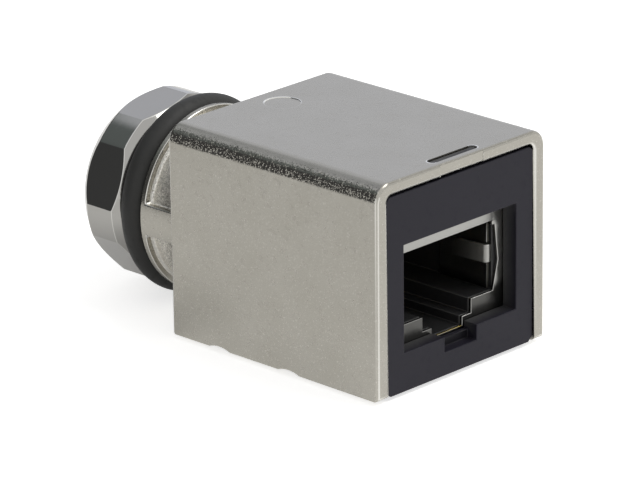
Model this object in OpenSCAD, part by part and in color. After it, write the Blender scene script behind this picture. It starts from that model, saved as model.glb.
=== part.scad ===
// Circular to ethernet adapter: an M12 socket with a panel nut at one end, a shielded RJ45 port at the other.
// Millimetres. The origin is on the socket's axis, in the flange face that meets the panel.
// The socket points along +Y, the RJ45 port faces -Y, and +Z is up.

/* [Housing] */
// Width of the box across its side walls
housing_w = 22; // [21.4:0.1:26]
// Length of the box from its front rim to its rear face
housing_l = 25.6; // [24.8:0.1:32]
// Height of the box
housing_h = 20; // [19:0.1:24]
// Thickness of the side walls
side_wall = 1.35; // [1.1:0.05:1.6]
// Thickness of the top wall
top_wall = 1.2; // [1:0.05:1.6]
// Thickness of the rear wall
rear_wall = 1.5; // [1.2:0.1:1.8]
// Rounding of the two long top edges
top_edge_r = 1.7; // [1:0.1:2]
// Rounding of the rim and of the rear edges
rim_edge_r = 0.35; // [0.25:0.05:0.5]
// Rounding of the upper corners inside the box
inner_corner_r = 0.7; // [0.5:0.05:0.9]
// Larger rounding of the rear upright edges below the parting line
lower_edge_r = 0.5; // [0.4:0.05:0.8]
// Rounding of the ends of the side walls at the underside
foot_r = 0.5; // [0.3:0.05:0.8]
// Height of the parting line on the rear upright edges
parting_h = 8.6; // [7:0.1:10]
// Height of the socket's axis above the underside
axis_h = 9; // [8.9:0.1:9.8]

/* [Top slot and small marks] */
// Length of the slot for the cover's locking tab
slot_l = 6.1; // [5:0.1:8]
// Width of that slot
slot_w = 0.95; // [0.8:0.05:1.2]
// Distance from the front rim to the middle of the slot
slot_setback = 1.2; // [1.1:0.05:1.5]
// Width of the shallow relief in the rim in front of the slot
relief_w = 5.6; // [4:0.1:7]
// Depth of that relief
relief_depth = 0.06; // [0.04:0.01:0.12]
// Diameter of the shallow round dish that the mould leaves on the top
mark_d = 3.4; // [2.5:0.1:5]
// Distance from the rear face to the middle of that dish
mark_setback = 3.3; // [3:0.1:5]
// Distance of the dish from the middle of the box
mark_offset = 0.4; // [-2:0.1:2]
// Depth of that dish
mark_depth = 0.06; // [0.04:0.01:0.1]
// Length of each staking dent in the lower wall edges
dent_l = 2.6; // [2:0.1:3.5]
// Depth of each staking dent
dent_depth = 0.25; // [0.15:0.05:0.4]
// Distance from the rear face to the first dent
dent_setback = 6.05; // [5:0.05:7]
// Distance between the two dents of a side
dent_pitch = 8.65; // [7:0.05:10]

/* [Boss and neck] */
// Length of the boss from the box to the flange face
boss_l = 6.1; // [5:0.1:8]
// Outer diameter of the boss webs and the flange
flange_d = 17.6; // [17:0.1:17.8]
// Thickness of the flange ring
flange_t = 0.6; // [0.5:0.05:1.2]
// Depth of the two cast pockets in the boss
pocket_depth = 0.75; // [0.4:0.05:1]
// Width of the two webs between the pockets
web_w = 3; // [2:0.1:5]
// Outer diameter of the panel thread on the neck
neck_d = 14; // [13.8:0.1:14.2]
// Diameter of the undercut between flange and thread
undercut_d = 13.2; // [12.9:0.1:13.3]
// Length of that undercut
undercut_l = 2.6; // [2:0.1:3]
// Distance that the neck stands out past the nut
neck_proud = 0.5; // [0.2:0.1:1.5]
// Chamfer at the end of the neck
neck_chamfer = 0.4; // [0.2:0.05:0.6]
// Diameter of the socket at the root of its thread
socket_d = 12; // [11.8:0.1:12.2]
// Bore behind the socket that holds the collar of the contact carrier
collar_bore_d = 13.4; // [13:0.1:14]
// Distance from the flange face back to the shoulder of that bore
shoulder_setback = 0.8; // [0.5:0.1:1.5]

/* [Panel nut and sealing ring] */
// Diameter of the nut
nut_d = 17.8; // [17.4:0.1:19]
// Width of the nut across its flats
nut_flats = 16.8; // [16.4:0.1:17.2]
// Length of the nut
nut_l = 5.4; // [4.5:0.1:7]
// Distance from the flange face to the nut
nut_gap = 2.85; // [2.7:0.05:4]
// Angle of the first flat about the axis
nut_turn = 41.5; // [0:0.5:60]
// Diameter of the nut's face towards the box
nut_near_face_d = 16; // [15:0.1:16.4]
// Length of the chamfer towards the box
nut_near_chamfer = 0.8; // [0.4:0.05:1]
// Diameter of the nut's far face
nut_far_face_d = 15.7; // [15:0.1:16.4]
// Length of the far chamfer
nut_far_chamfer = 1.35; // [0.6:0.05:1.6]
// Chamfer of the nut's thread at both ends
nut_lead_in = 0.3; // [0.1:0.05:0.4]
// Outer diameter of the sealing ring
ring_d = 18.8; // [18.4:0.1:19.2]
// Thickness of the sealing ring
ring_t = 2.5; // [2.2:0.1:2.6]

/* [Front cover] */
// Distance of the face plate behind the front rim
face_setback = 0.2; // [0.1:0.05:0.6]
// Thickness of the face plate
face_t = 1.6; // [1.5:0.1:2]
// Width of the port window
window_w = 14.74; // [14.2:0.02:15.2]
// Height of the window's lower edge above the underside
window_floor_h = 3.65; // [3.5:0.05:3.9]
// Height of the port window
window_h = 10.05; // [9.6:0.05:10.4]
// Width of the latch notch below the window
notch_w = 4.2; // [3.6:0.1:5]
// Depth of the latch notch
notch_depth = 1.45; // [1:0.05:1.6]
// Thickness of the wall left behind the latch notch
notch_wall_t = 0.5; // [0.3:0.05:0.8]
// Distance from the port's lowest latch step down to the top of that wall
notch_wall_drop = 0.2; // [0.1:0.05:0.3]
// Chamfer of the two lower corners of the face
face_chamfer = 0.5; // [0.3:0.05:0.8]
// Thickness of the floor
floor_t = 1; // [0.8:0.1:1.2]
// Height of the ribs that hold the board's lower edge
board_rib_h = 1.1; // [0.8:0.1:1.2]
// Thickness of those ribs and of the jack's rests
rib_t = 1; // [0.8:0.1:1.4]
// Distance of each jack rest from the middle
rest_offset = 5.2; // [4.5:0.1:6]
// Distance of the locking tab below the top of the box
tab_drop = 0.15; // [0.1:0.05:0.4]

/* [RJ45 jack] */
// Width of the shield
shell_w = 16; // [15.6:0.1:17]
// Height of the shield's underside above the box's underside
shell_floor_h = 2.5; // [2.3:0.1:2.6]
// Height of the shield
shell_h = 11.9; // [11.7:0.1:12.6]
// Length of the shield
shell_l = 15; // [14.6:0.1:15.8]
// Thickness of the shield's sheet
sheet_t = 0.3; // [0.2:0.01:0.35]
// Rounding of the shield's long folds
fold_r = 0.6; // [0.5:0.05:0.9]
// Width of the port cut-out at its upper corners
port_top_w = 12.6; // [12.4:0.1:13]
// Width of the port cut-out at its widest
port_mid_w = 13.6; // [13.2:0.1:14]
// Width of the port cut-out at its lower corners
port_low_w = 12.2; // [12.1:0.1:13]
// Height of the port floor above the underside
port_floor_h = 5.4; // [5.2:0.1:5.5]
// Height of the port
port_h = 6.7; // [6.6:0.05:6.8]
// Height of the widest place above the port floor
port_mid_h = 2.8; // [2.4:0.1:3.2]
// Depth of the port
port_depth = 12; // [11.6:0.1:12.2]
// Width of the upper latch step
latch_w1 = 6.4; // [6:0.1:6.8]
// Depth of the upper latch step
latch_step1 = 1.35; // [1.2:0.05:1.4]
// Width of the lower latch step
latch_w2 = 4; // [3.6:0.1:4.4]
// Depth of the lower latch step
latch_step2 = 0.85; // [0.6:0.05:0.9]
// Width between the two side liners
liner_gap_w = 12; // [11.8:0.05:12.1]
// Distance of the liners behind the shield's front
liner_setback = 0.35; // [0.3:0.05:0.6]
// Length of the liners
liner_l = 6; // [5:0.1:8]
// Height of the bridges that join the liners to the shield's front
bridge_h = 0.4; // [0.3:0.05:0.6]
// Height of the spring fingers
finger_h = 1.7; // [1.2:0.1:2]
// Height of the fingers' middle above the port floor
finger_mid_h = 3.55; // [3.2:0.05:3.9]
// Length of the spring fingers
finger_l = 3.4; // [2.5:0.1:4]
// Bend radius of the spring fingers
finger_r = 0.31; // [0.25:0.01:0.35]
// Angle at which the fingers lean into the port
finger_slope = 5; // [2:1:6]
// Distance between neighbouring contacts
jack_pitch = 1.02; // [1:0.01:1.05]
// Width of a contact
jack_contact_w = 0.45; // [0.35:0.01:0.5]
// Thickness of a contact
jack_contact_t = 0.3; // [0.25:0.01:0.35]
// Bend radius at the nose of a contact
nose_r = 0.5; // [0.4:0.05:0.6]
// Distance from the shield's front to the nose
nose_setback = 2.1; // [1.8:0.1:3]
// Angle at which the free ends slope down
contact_slope = 13; // [11:0.5:14]
// Length of the free ends
contact_reach = 7; // [5:0.1:7.5]
// Distance from the end of the port to where every second contact steps down
tail_step = 1.2; // [1:0.1:1.6]

/* [Circuit board] */
// Thickness of the board
board_t = 1.6; // [1:0.1:1.8]
// Distance of the board's top edge below the top wall
board_top_gap = 1.2; // [0.8:0.1:2]
// Distance that the contact tails stand out behind the board
tail_proud = 0.7; // [0.4:0.1:1.2]
// Diameter of the holes for the jack's contacts
tail_hole_d = 0.9; // [0.8:0.05:0.95]
// Width of the shield's two solder tabs
tail_tab_w = 1.2; // [0.8:0.1:2]

/* [Circular socket] */
// Diameter of the contact carrier
carrier_d = 8.4; // [8.2:0.1:8.8]
// Distance of the carrier's face behind the end of the neck
carrier_recess = 0.7; // [0.4:0.1:1.2]
// Width of the coding groove in the carrier
key_w = 1.2; // [0.8:0.1:1.6]
// Depth of the coding groove
key_depth = 0.7; // [0.5:0.05:0.8]
// Distance that the collar stands into the box
collar_proud = 0.6; // [0.2:0.1:1.5]
// Inner diameter of the collar's rear lip
collar_lip_d = 7.6; // [7.3:0.1:7.8]
// Thickness of that lip
collar_lip_t = 1; // [0.8:0.1:1.4]
// Diameter of the circle of contacts
contact_circle_d = 5; // [4.8:0.1:5.2]
// Outer diameter of a socket contact
socket_contact_d = 1.5; // [1.4:0.05:1.6]
// Distance of the socket contacts behind the carrier's face
contact_recess = 0.2; // [0.1:0.05:0.4]
// Bore of a socket contact
pin_bore_d = 1.04; // [0.96:0.02:1.1]
// Depth of that bore
pin_bore_l = 7; // [5:0.1:8]
// Diameter of a socket contact's tail
contact_tail_d = 0.7; // [0.6:0.05:0.8]
// Thickness of the collar's seal
seal_t = 1.1; // [1:0.05:1.2]
// Width of the seal's groove
seal_groove_w = 1.5; // [1.4:0.1:1.8]

/* [Clearances] */
// Clearance between pieces that seat on each other
seat_gap = 0.05; // [0.03:0.01:0.1]
// Clearance above the face plate, seen as a dark line
face_top_gap = 0.25; // [0.15:0.01:0.3]
// Clearance round contacts in their slots and holes
contact_gap = 0.1; // [0.08:0.01:0.14]
// Clearance of the panel thread
thread_gap = 0.05; // [0.03:0.01:0.1]

/* [Hidden] */
$fn = 64;
past = 1;
jack_contacts = 8;
m12_contacts = 4;

rear_y = -boss_l;
front_y = rear_y - housing_l;
inner_rear_y = rear_y - rear_wall;
inner_w = housing_w - 2 * side_wall;
inner_h = housing_h - top_wall;
board_top_h = inner_h - board_top_gap;

face_y = front_y + face_setback;
face_back_y = face_y + face_t;
shell_y = face_back_y + seat_gap;
shell_rear_y = shell_y + shell_l;
board_y = shell_rear_y + seat_gap;
board_rear_y = board_y + board_t;

nut_far_y = nut_gap + nut_l;
neck_y = nut_far_y + neck_proud;
shoulder_y = -shoulder_setback;
collar_rear_y = inner_rear_y - collar_proud;
collar_d = collar_bore_d - 2 * seat_gap;
carrier_y = neck_y - carrier_recess;
carrier_rear_y = collar_rear_y + collar_lip_t + seat_gap;
seal_floor_d = collar_d - 2 * seal_t - 2 * seat_gap;
seal_y = (shoulder_y + collar_rear_y) / 2;

body_w = shell_w - 2 * sheet_t - 2 * seat_gap;
body_floor_h = shell_floor_h + sheet_t + seat_gap;
body_top_h = shell_floor_h + shell_h - sheet_t - seat_gap;
body_y = shell_y + sheet_t + seat_gap;
port_top_h = port_floor_h + port_h;
port_rear_y = shell_y + port_depth;
liner_x = liner_gap_w / 2;
liner_y = shell_y + liner_setback;
cavity_w = liner_gap_w + 2 * sheet_t + 2 * seat_gap;

channel_h = port_top_h + 2 * nose_r - jack_contact_t;
nose_y = shell_y + nose_setback + nose_r;
tail_drop_y = port_rear_y + tail_step;
tail_low_h = axis_h;
tail_end_y = board_rear_y + tail_proud;
tail_tab_h = port_floor_h;
slot_y = front_y + slot_setback;
slot_end_r = 0.45 * slot_w;

nickel = [0.66, 0.65, 0.61];
bright_nickel = [0.74, 0.74, 0.73];
tin = [0.70, 0.70, 0.68];
gold = [0.83, 0.66, 0.30];
cover_black = [0.21, 0.21, 0.23];
jack_black = [0.08, 0.08, 0.09];
rubber_black = [0.14, 0.14, 0.14];
board_green = [0.10, 0.32, 0.19];

// Heights of the box and its contents are measured from the underside
module from_underside() {
  translate([0, 0, -axis_h]) children();
}

// A profile drawn in X and Z, run from one Y to another
module xz_extrude(y0, y1) {
  translate([0, y1, 0]) rotate([90, 0, 0]) linear_extrude(y1 - y0) children();
}

// A profile drawn in Y and Z, run from one X to another
module yz_extrude(x0, x1) {
  translate([x0, 0, 0]) rotate([90, 0, 90]) linear_extrude(x1 - x0) children();
}

// A profile drawn as radius and Y, turned about the socket's axis
module revolve() {
  rotate([-90, 0, 0]) rotate_extrude() children();
}

// A rod along Y
module rod(d, y0, y1) {
  translate([0, y0, 0]) rotate([-90, 0, 0]) cylinder(d = d, h = y1 - y0);
}

// A rectangle between two corners
module rect(a0, a1, b0, b1) {
  translate([a0, b0]) square([a1 - a0, b1 - b0]);
}

// A rectangle with four round corners
module round_rect(a0, a1, b0, b1, r) {
  rect(a0 + r, a1 - r, b0, b1);
  rect(a0, a1, b0 + r, b1 - r);
  for (a = [a0 + r, a1 - r], b = [b0 + r, b1 - r]) translate([a, b]) circle(r);
}

// A rectangle with its two upper corners round
module arch_rect(a0, a1, b0, b1, r) {
  rect(a0 + r, a1 - r, b0, b1);
  rect(a0, a1, b0, b1 - r);
  for (a = [a0 + r, a1 - r]) translate([a, b1 - r]) circle(r);
}

// What is cut away to round a corner that lies at the origin and opens towards -a and -b
module corner_cut(r) {
  difference() {
    rect(-r, past, -r, past);
    translate([-r, -r]) circle(r);
  }
}

// Outline of a bent strip of even thickness along a line of points
function unit(v) = v / norm(v);
function left_of(v) = [-v[1], v[0]];
function heading(p, i) = unit(p[i + 1] - p[i]);
function mitre(p, i) =
  let (last = len(p) - 1)
  let (a = left_of(heading(p, max(i - 1, 0))))
  let (b = left_of(heading(p, min(i, last - 1))))
  let (m = unit(a + b))
  m / (m * a);
function strip(p, t) = concat(
  [for (i = [0 : len(p) - 1]) p[i] + mitre(p, i) * t / 2],
  [for (i = [len(p) - 1 : -1 : 0]) p[i] - mitre(p, i) * t / 2]
);
function polar(r, a) = r * [cos(a), sin(a)];
function arc(c, r, a0, a1, n) = [for (i = [0 : n]) c + polar(r, a0 + (a1 - a0) * i / n)];

// Outer form of the box: three rounded prisms and a round bar along each long top edge
module box_form() {
  half = housing_w / 2;
  yz_extrude(-half + top_edge_r, half - top_edge_r) arch_rect(front_y, rear_y, 0, housing_h, rim_edge_r);
  linear_extrude(housing_h - top_edge_r) round_rect(-half, half, front_y, rear_y, rim_edge_r);
  for (side = [-1, 1]) {
    translate([side * (half - top_edge_r), 0, housing_h - top_edge_r]) revolve() {
      rect(0, top_edge_r - rim_edge_r, front_y, rear_y);
      rect(0, top_edge_r, front_y + rim_edge_r, rear_y - rim_edge_r);
      for (y = [front_y + rim_edge_r, rear_y - rim_edge_r]) {
        intersection() {
          translate([top_edge_r - rim_edge_r, y]) circle(rim_edge_r);
          rect(0, top_edge_r, front_y, rear_y);
        }
      }
    }
  }
}

// Everything that is cut from the box form
module box_cuts() {
  half = housing_w / 2;
  dent_r = (dent_l * dent_l / 4 + dent_depth * dent_depth) / (2 * dent_depth);
  xz_extrude(front_y - past, inner_rear_y) {
    arch_rect(-inner_w / 2, inner_w / 2, -past, inner_h, inner_corner_r);
  }
  yz_extrude(-half - past, half + past) {
    translate([front_y, 0]) rotate(180) corner_cut(foot_r);
    translate([rear_y, 0]) rotate(-90) corner_cut(foot_r);
  }
  translate([0, 0, inner_h - past]) linear_extrude(top_wall + 2 * past) {
    round_rect(-slot_l / 2, slot_l / 2, slot_y - slot_w / 2, slot_y + slot_w / 2, slot_end_r);
  }
  xz_extrude(front_y - past, front_y + relief_depth) {
    rect(-relief_w / 2, relief_w / 2, inner_h - past, housing_h + past);
  }
  translate([mark_offset, rear_y - mark_setback, housing_h - mark_depth]) cylinder(d = mark_d, h = past);
  for (m = [0, 1]) mirror([m, 0, 0]) {
    translate([half, rear_y, -past]) linear_extrude(parting_h + past) corner_cut(lower_edge_r);
    for (i = [0, 1]) {
      translate([half, rear_y - dent_setback - i * dent_pitch, dent_depth - dent_r]) {
        rotate([0, 90, 0]) cylinder(r = dent_r, h = 4 * side_wall, center = true);
      }
    }
  }
}

// Boss with its two pockets and webs, flange ring and threaded neck
module boss_and_neck() {
  root_y = rear_y - rear_wall / 2;
  rod(flange_d - 2 * pocket_depth, root_y, 0);
  rod(flange_d, -flange_t, 0);
  intersection() {
    rod(flange_d, root_y, 0);
    translate([-flange_d, root_y, -web_w / 2]) cube([2 * flange_d, -root_y, web_w]);
  }
  revolve() polygon([
    [0, -flange_t],
    [undercut_d / 2, -flange_t],
    [undercut_d / 2, undercut_l],
    [neck_d / 2, undercut_l + (neck_d - undercut_d) / 2],
    [neck_d / 2, neck_y - neck_chamfer],
    [neck_d / 2 - neck_chamfer, neck_y],
    [0, neck_y]
  ]);
}

// Zinc die casting: box, boss, flange and neck in one piece
module housing() {
  color(nickel) difference() {
    union() {
      from_underside() difference() {
        box_form();
        box_cuts();
      }
      boss_and_neck();
    }
    rod(collar_bore_d, inner_rear_y - past, shoulder_y);
    rod(socket_d, shoulder_y - past, neck_y + past);
    translate([0, neck_y - neck_chamfer, 0]) rotate([-90, 0, 0]) {
      cylinder(d1 = socket_d, d2 = socket_d + 2 * (neck_chamfer + past), h = neck_chamfer + past);
    }
  }
}

// Black moulding: face plate, locking tab, floor, and the ribs that carry the jack and the board
module front_cover() {
  half = inner_w / 2 - seat_gap;
  face_top_h = inner_h - face_top_gap;
  tab_gap = 2 * seat_gap;
  tab_half_w = slot_w / 2 - tab_gap;
  tab_half_l = slot_l / 2 - tab_gap;
  rest_top_h = shell_floor_h - seat_gap;
  rib_top_h = floor_t + board_rib_h;
  rib_front_y = board_y - seat_gap - rib_t;
  face_mid_y = face_y + face_t / 2;
  notch_wall_h = port_floor_h - latch_step1 - latch_step2 - notch_wall_drop;
  color(cover_black) from_underside() {
    xz_extrude(face_y, face_back_y) difference() {
      arch_rect(-half, half, 0, face_top_h, inner_corner_r - seat_gap);
      for (m = [0, 1]) mirror([m, 0]) {
        polygon([[half - face_chamfer, 0], [half + past, -past], [half + past, face_chamfer + past],
          [half, face_chamfer]]);
      }
      rect(-window_w / 2, window_w / 2, window_floor_h, window_floor_h + window_h);
      rect(-notch_w / 2, notch_w / 2, window_floor_h - notch_depth, window_floor_h + past);
    }
    xz_extrude(face_back_y - notch_wall_t, face_back_y) {
      rect(-notch_w / 2 - notch_wall_t, notch_w / 2 + notch_wall_t, floor_t, notch_wall_h);
    }
    translate([0, 0, face_top_h - past]) linear_extrude(housing_h - tab_drop - face_top_h + past) {
      round_rect(-tab_half_l, tab_half_l, slot_y - tab_half_w, slot_y + tab_half_w, slot_end_r - tab_gap);
    }
    linear_extrude(floor_t) rect(-half, half, face_mid_y, inner_rear_y - seat_gap);
    for (m = [0, 1]) mirror([m, 0, 0]) {
      linear_extrude(rest_top_h) {
        rect(rest_offset - rib_t / 2, rest_offset + rib_t / 2, face_mid_y, rib_front_y);
      }
    }
    linear_extrude(rib_top_h) {
      rect(-half, half, rib_front_y, rib_front_y + rib_t);
      rect(-half, half, board_rear_y + seat_gap, board_rear_y + seat_gap + rib_t);
    }
  }
}

// Outline of the port in the shield's front
module port_outline() {
  mid_h = port_floor_h + port_mid_h;
  step1_h = port_floor_h - latch_step1;
  polygon([
    [-port_low_w / 2, port_floor_h],
    [-port_mid_w / 2, mid_h],
    [-port_top_w / 2, port_top_h],
    [port_top_w / 2, port_top_h],
    [port_mid_w / 2, mid_h],
    [port_low_w / 2, port_floor_h]
  ]);
  rect(-latch_w1 / 2, latch_w1 / 2, step1_h, mid_h);
  rect(-latch_w2 / 2, latch_w2 / 2, step1_h - latch_step2, mid_h);
}

// Side liner of the port with its spring finger folded back from the front edge
module liner_and_finger() {
  mid_x = liner_x + sheet_t / 2;
  low_h = port_floor_h + seat_gap;
  high_h = port_top_h - seat_gap;
  finger_low_h = port_floor_h + finger_mid_h - finger_h / 2;
  bend = [mid_x - finger_r, liner_y + finger_r];
  bend_end = arc(bend, finger_r, 0, finger_slope - 180, 8);
  leaf_end = bend_end[8] + finger_l * [-sin(finger_slope), cos(finger_slope)];
  translate([0, 0, low_h]) linear_extrude(high_h - low_h) {
    rect(liner_x, liner_x + sheet_t, liner_y + finger_r, liner_y + liner_l);
  }
  translate([0, 0, high_h - bridge_h]) linear_extrude(bridge_h) {
    rect(liner_x, shell_w / 2 - fold_r, shell_y, shell_y + sheet_t);
    rect(liner_x, liner_x + sheet_t, shell_y, liner_y + 2 * finger_r);
  }
  translate([0, 0, finger_low_h]) linear_extrude(finger_h) {
    polygon(strip(concat([[mid_x, liner_y + 2 * finger_r]], bend_end, [leaf_end]), sheet_t));
  }
}

// Shield of the jack, stamped and folded from one sheet
module jack_shell() {
  half = shell_w / 2;
  top_h = shell_floor_h + shell_h;
  color(tin) from_underside() {
    xz_extrude(shell_y, shell_rear_y) difference() {
      round_rect(-half, half, shell_floor_h, top_h, fold_r);
      round_rect(-half + sheet_t, half - sheet_t, shell_floor_h + sheet_t, top_h - sheet_t, fold_r - sheet_t);
    }
    xz_extrude(shell_y, shell_y + sheet_t) difference() {
      round_rect(-half, half, shell_floor_h, top_h, fold_r);
      port_outline();
    }
    for (m = [0, 1]) mirror([m, 0, 0]) {
      liner_and_finger();
      translate([half - sheet_t, shell_rear_y - past, tail_tab_h - tail_tab_w / 2]) {
        cube([sheet_t, tail_end_y - shell_rear_y + past, tail_tab_w]);
      }
    }
  }
}

// Sideways place of a jack contact
function contact_x(i) = (i - (jack_contacts + 1) / 2) * jack_pitch;
// Height of a jack contact's tail: the odd ones run straight, the even ones step down to a second row
function tail_h(i) = i % 2 == 0 ? tail_low_h : channel_h;

// Moulded body of the jack
module jack_body() {
  slot_w_body = jack_contact_w + 2 * contact_gap;
  slot_front_y = nose_y - nose_r - jack_contact_t - contact_gap;
  channel_floor_h = channel_h - jack_contact_t / 2 - contact_gap;
  row_half_w = contact_x(jack_contacts) + slot_w_body / 2;
  step1_h = port_floor_h - latch_step1;
  color(jack_black) from_underside() difference() {
    xz_extrude(body_y, shell_rear_y) {
      round_rect(-body_w / 2, body_w / 2, body_floor_h, body_top_h, fold_r - sheet_t);
    }
    xz_extrude(body_y - past, port_rear_y) {
      rect(-cavity_w / 2, cavity_w / 2, port_floor_h, port_top_h);
      rect(-latch_w1 / 2, latch_w1 / 2, step1_h, port_top_h);
      rect(-latch_w2 / 2, latch_w2 / 2, step1_h - latch_step2, port_top_h);
    }
    for (i = [1 : jack_contacts]) {
      yz_extrude(contact_x(i) - slot_w_body / 2, contact_x(i) + slot_w_body / 2) {
        rect(slot_front_y, shell_rear_y + past, channel_floor_h, body_top_h + past);
        rect(slot_front_y, nose_y + contact_reach, port_top_h - past, channel_floor_h + past);
      }
    }
    xz_extrude(tail_drop_y - jack_contact_t, shell_rear_y + past) {
      rect(-row_half_w, row_half_w, tail_low_h - jack_contact_t, body_top_h + past);
    }
  }
}

// Spring contact of the jack: tail through the board, run along the top, nose, free end sloping down
module jack_contact(i) {
  nose = [nose_y, channel_h - nose_r];
  bend = arc(nose, nose_r, 90, 270 - contact_slope, 10);
  free_end = bend[10] + contact_reach * [cos(contact_slope), -sin(contact_slope)];
  step_down = i % 2 == 0 ? [[tail_drop_y, tail_h(i)], [tail_drop_y, channel_h]] : [];
  path = concat([[tail_end_y, tail_h(i)]], step_down, bend, [free_end]);
  color(gold) from_underside() {
    yz_extrude(contact_x(i) - jack_contact_w / 2, contact_x(i) + jack_contact_w / 2) {
      polygon(strip(path, jack_contact_t));
    }
  }
}

// Board across the box, between the jack and the circular socket
module circuit_board() {
  half = inner_w / 2 - contact_gap;
  tab_x = shell_w / 2 - sheet_t / 2;
  color(board_green) xz_extrude(board_y, board_rear_y) difference() {
    translate([0, -axis_h]) difference() {
      rect(-half, half, floor_t + seat_gap, board_top_h);
      for (i = [1 : jack_contacts]) translate([contact_x(i), tail_h(i)]) circle(d = tail_hole_d);
      for (side = [-1, 1]) translate([side * tab_x, tail_tab_h]) {
        square([sheet_t + 2 * contact_gap, tail_tab_w + 2 * contact_gap], center = true);
      }
    }
    for (i = [1 : m12_contacts]) m12_place(i) circle(d = contact_tail_d + 2 * contact_gap);
  }
}

// Place of a socket contact in the plane across the axis
module m12_place(i) {
  turn = 360 / m12_contacts;
  translate(polar(contact_circle_d / 2, turn * (i - 0.5))) children();
}

// Moulded carrier of the socket contacts
module m12_insert() {
  color(jack_black) difference() {
    rod(carrier_d, carrier_rear_y, carrier_y);
    xz_extrude(carrier_rear_y - past, carrier_y + past) {
      for (i = [1 : m12_contacts]) m12_place(i) circle(d = socket_contact_d + 2 * seat_gap);
    }
    translate([-key_w / 2, 0, carrier_d / 2 - key_depth]) cube([key_w, carrier_y + past, carrier_d]);
  }
}

// Moulded collar that holds the carrier and its seal in the boss
module carrier_collar() {
  seat_y = shoulder_y - seat_gap;
  groove_y = seal_y - seal_groove_w / 2;
  color(jack_black) revolve() difference() {
    union() {
      rect(carrier_d / 2 + seat_gap, collar_d / 2, collar_rear_y, seat_y);
      rect(collar_lip_d / 2, collar_d / 2, collar_rear_y, collar_rear_y + collar_lip_t);
    }
    rect(seal_floor_d / 2, collar_d, groove_y, groove_y + seal_groove_w);
  }
}

// Turned socket contact with its tail in the board
module m12_contact(i) {
  mouth_y = carrier_y - contact_recess;
  color(gold) difference() {
    xz_extrude(carrier_rear_y, mouth_y) m12_place(i) circle(d = socket_contact_d);
    xz_extrude(mouth_y - pin_bore_l, mouth_y + past) m12_place(i) circle(d = pin_bore_d);
  }
  color(gold) xz_extrude(board_y + seat_gap, carrier_rear_y + past) m12_place(i) circle(d = contact_tail_d);
}

// Small O-ring in the groove of the collar
module insert_seal() {
  seal_place = [(collar_d - seal_t) / 2, seal_y];
  color(rubber_black) revolve() translate(seal_place) circle(d = seal_t);
}

// O-ring between flange and panel
module sealing_ring() {
  ring_place = [(ring_d - ring_t) / 2, ring_t / 2 + seat_gap];
  color(rubber_black) revolve() translate(ring_place) circle(d = ring_t);
}

// Panel nut: a turned ring with six milled flats
module lock_nut() {
  bore_d = neck_d + 2 * thread_gap;
  color(bright_nickel) difference() {
    intersection() {
      revolve() polygon([
        [0, nut_gap],
        [nut_near_face_d / 2, nut_gap],
        [nut_d / 2, nut_gap + nut_near_chamfer],
        [nut_d / 2, nut_far_y - nut_far_chamfer],
        [nut_far_face_d / 2, nut_far_y],
        [0, nut_far_y]
      ]);
      xz_extrude(nut_gap - past, nut_far_y + past) {
        rotate(nut_turn - 30) circle(d = nut_flats / cos(30), $fn = 6);
      }
    }
    rod(bore_d, nut_gap - past, nut_far_y + past);
    revolve() {
      polygon([[0, nut_gap - past], [bore_d / 2 + nut_lead_in + past, nut_gap - past],
        [bore_d / 2, nut_gap + nut_lead_in], [0, nut_gap + nut_lead_in]]);
      polygon([[0, nut_far_y + past], [bore_d / 2 + nut_lead_in + past, nut_far_y + past],
        [bore_d / 2, nut_far_y - nut_lead_in], [0, nut_far_y - nut_lead_in]]);
    }
  }
}

housing();
front_cover();
jack_shell();
jack_body();
for (i = [1 : jack_contacts]) {
  jack_contact(i);
}
circuit_board();
m12_insert();
carrier_collar();
for (i = [1 : m12_contacts]) {
  m12_contact(i);
}
insert_seal();
sealing_ring();
lock_nut();
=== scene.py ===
"""Circular to ethernet adapter: a nickel-plated box between an RJ45 port and an M12 socket."""
import bpy
import bmesh
import math
from mathutils import Matrix, Vector


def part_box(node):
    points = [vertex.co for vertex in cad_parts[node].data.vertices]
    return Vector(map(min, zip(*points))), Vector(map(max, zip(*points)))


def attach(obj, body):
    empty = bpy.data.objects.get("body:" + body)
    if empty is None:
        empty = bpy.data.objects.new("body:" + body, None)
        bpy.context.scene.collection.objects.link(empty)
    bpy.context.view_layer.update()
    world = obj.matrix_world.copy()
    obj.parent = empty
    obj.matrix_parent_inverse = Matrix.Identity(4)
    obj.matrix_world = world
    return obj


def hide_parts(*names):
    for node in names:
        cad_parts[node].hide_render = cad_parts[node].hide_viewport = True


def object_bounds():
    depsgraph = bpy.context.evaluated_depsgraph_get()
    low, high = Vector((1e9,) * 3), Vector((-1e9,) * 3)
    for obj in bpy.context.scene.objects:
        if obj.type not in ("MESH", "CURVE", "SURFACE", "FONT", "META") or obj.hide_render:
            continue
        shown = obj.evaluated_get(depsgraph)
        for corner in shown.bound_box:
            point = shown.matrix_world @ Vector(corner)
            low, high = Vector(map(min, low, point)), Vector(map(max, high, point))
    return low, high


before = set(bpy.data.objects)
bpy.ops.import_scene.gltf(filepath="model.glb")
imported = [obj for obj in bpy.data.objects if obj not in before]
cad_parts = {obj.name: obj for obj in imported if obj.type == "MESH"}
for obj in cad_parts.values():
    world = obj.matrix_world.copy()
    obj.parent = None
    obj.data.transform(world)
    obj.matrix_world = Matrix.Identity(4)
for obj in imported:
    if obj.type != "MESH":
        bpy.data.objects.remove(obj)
cad_low, cad_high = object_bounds()

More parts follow.
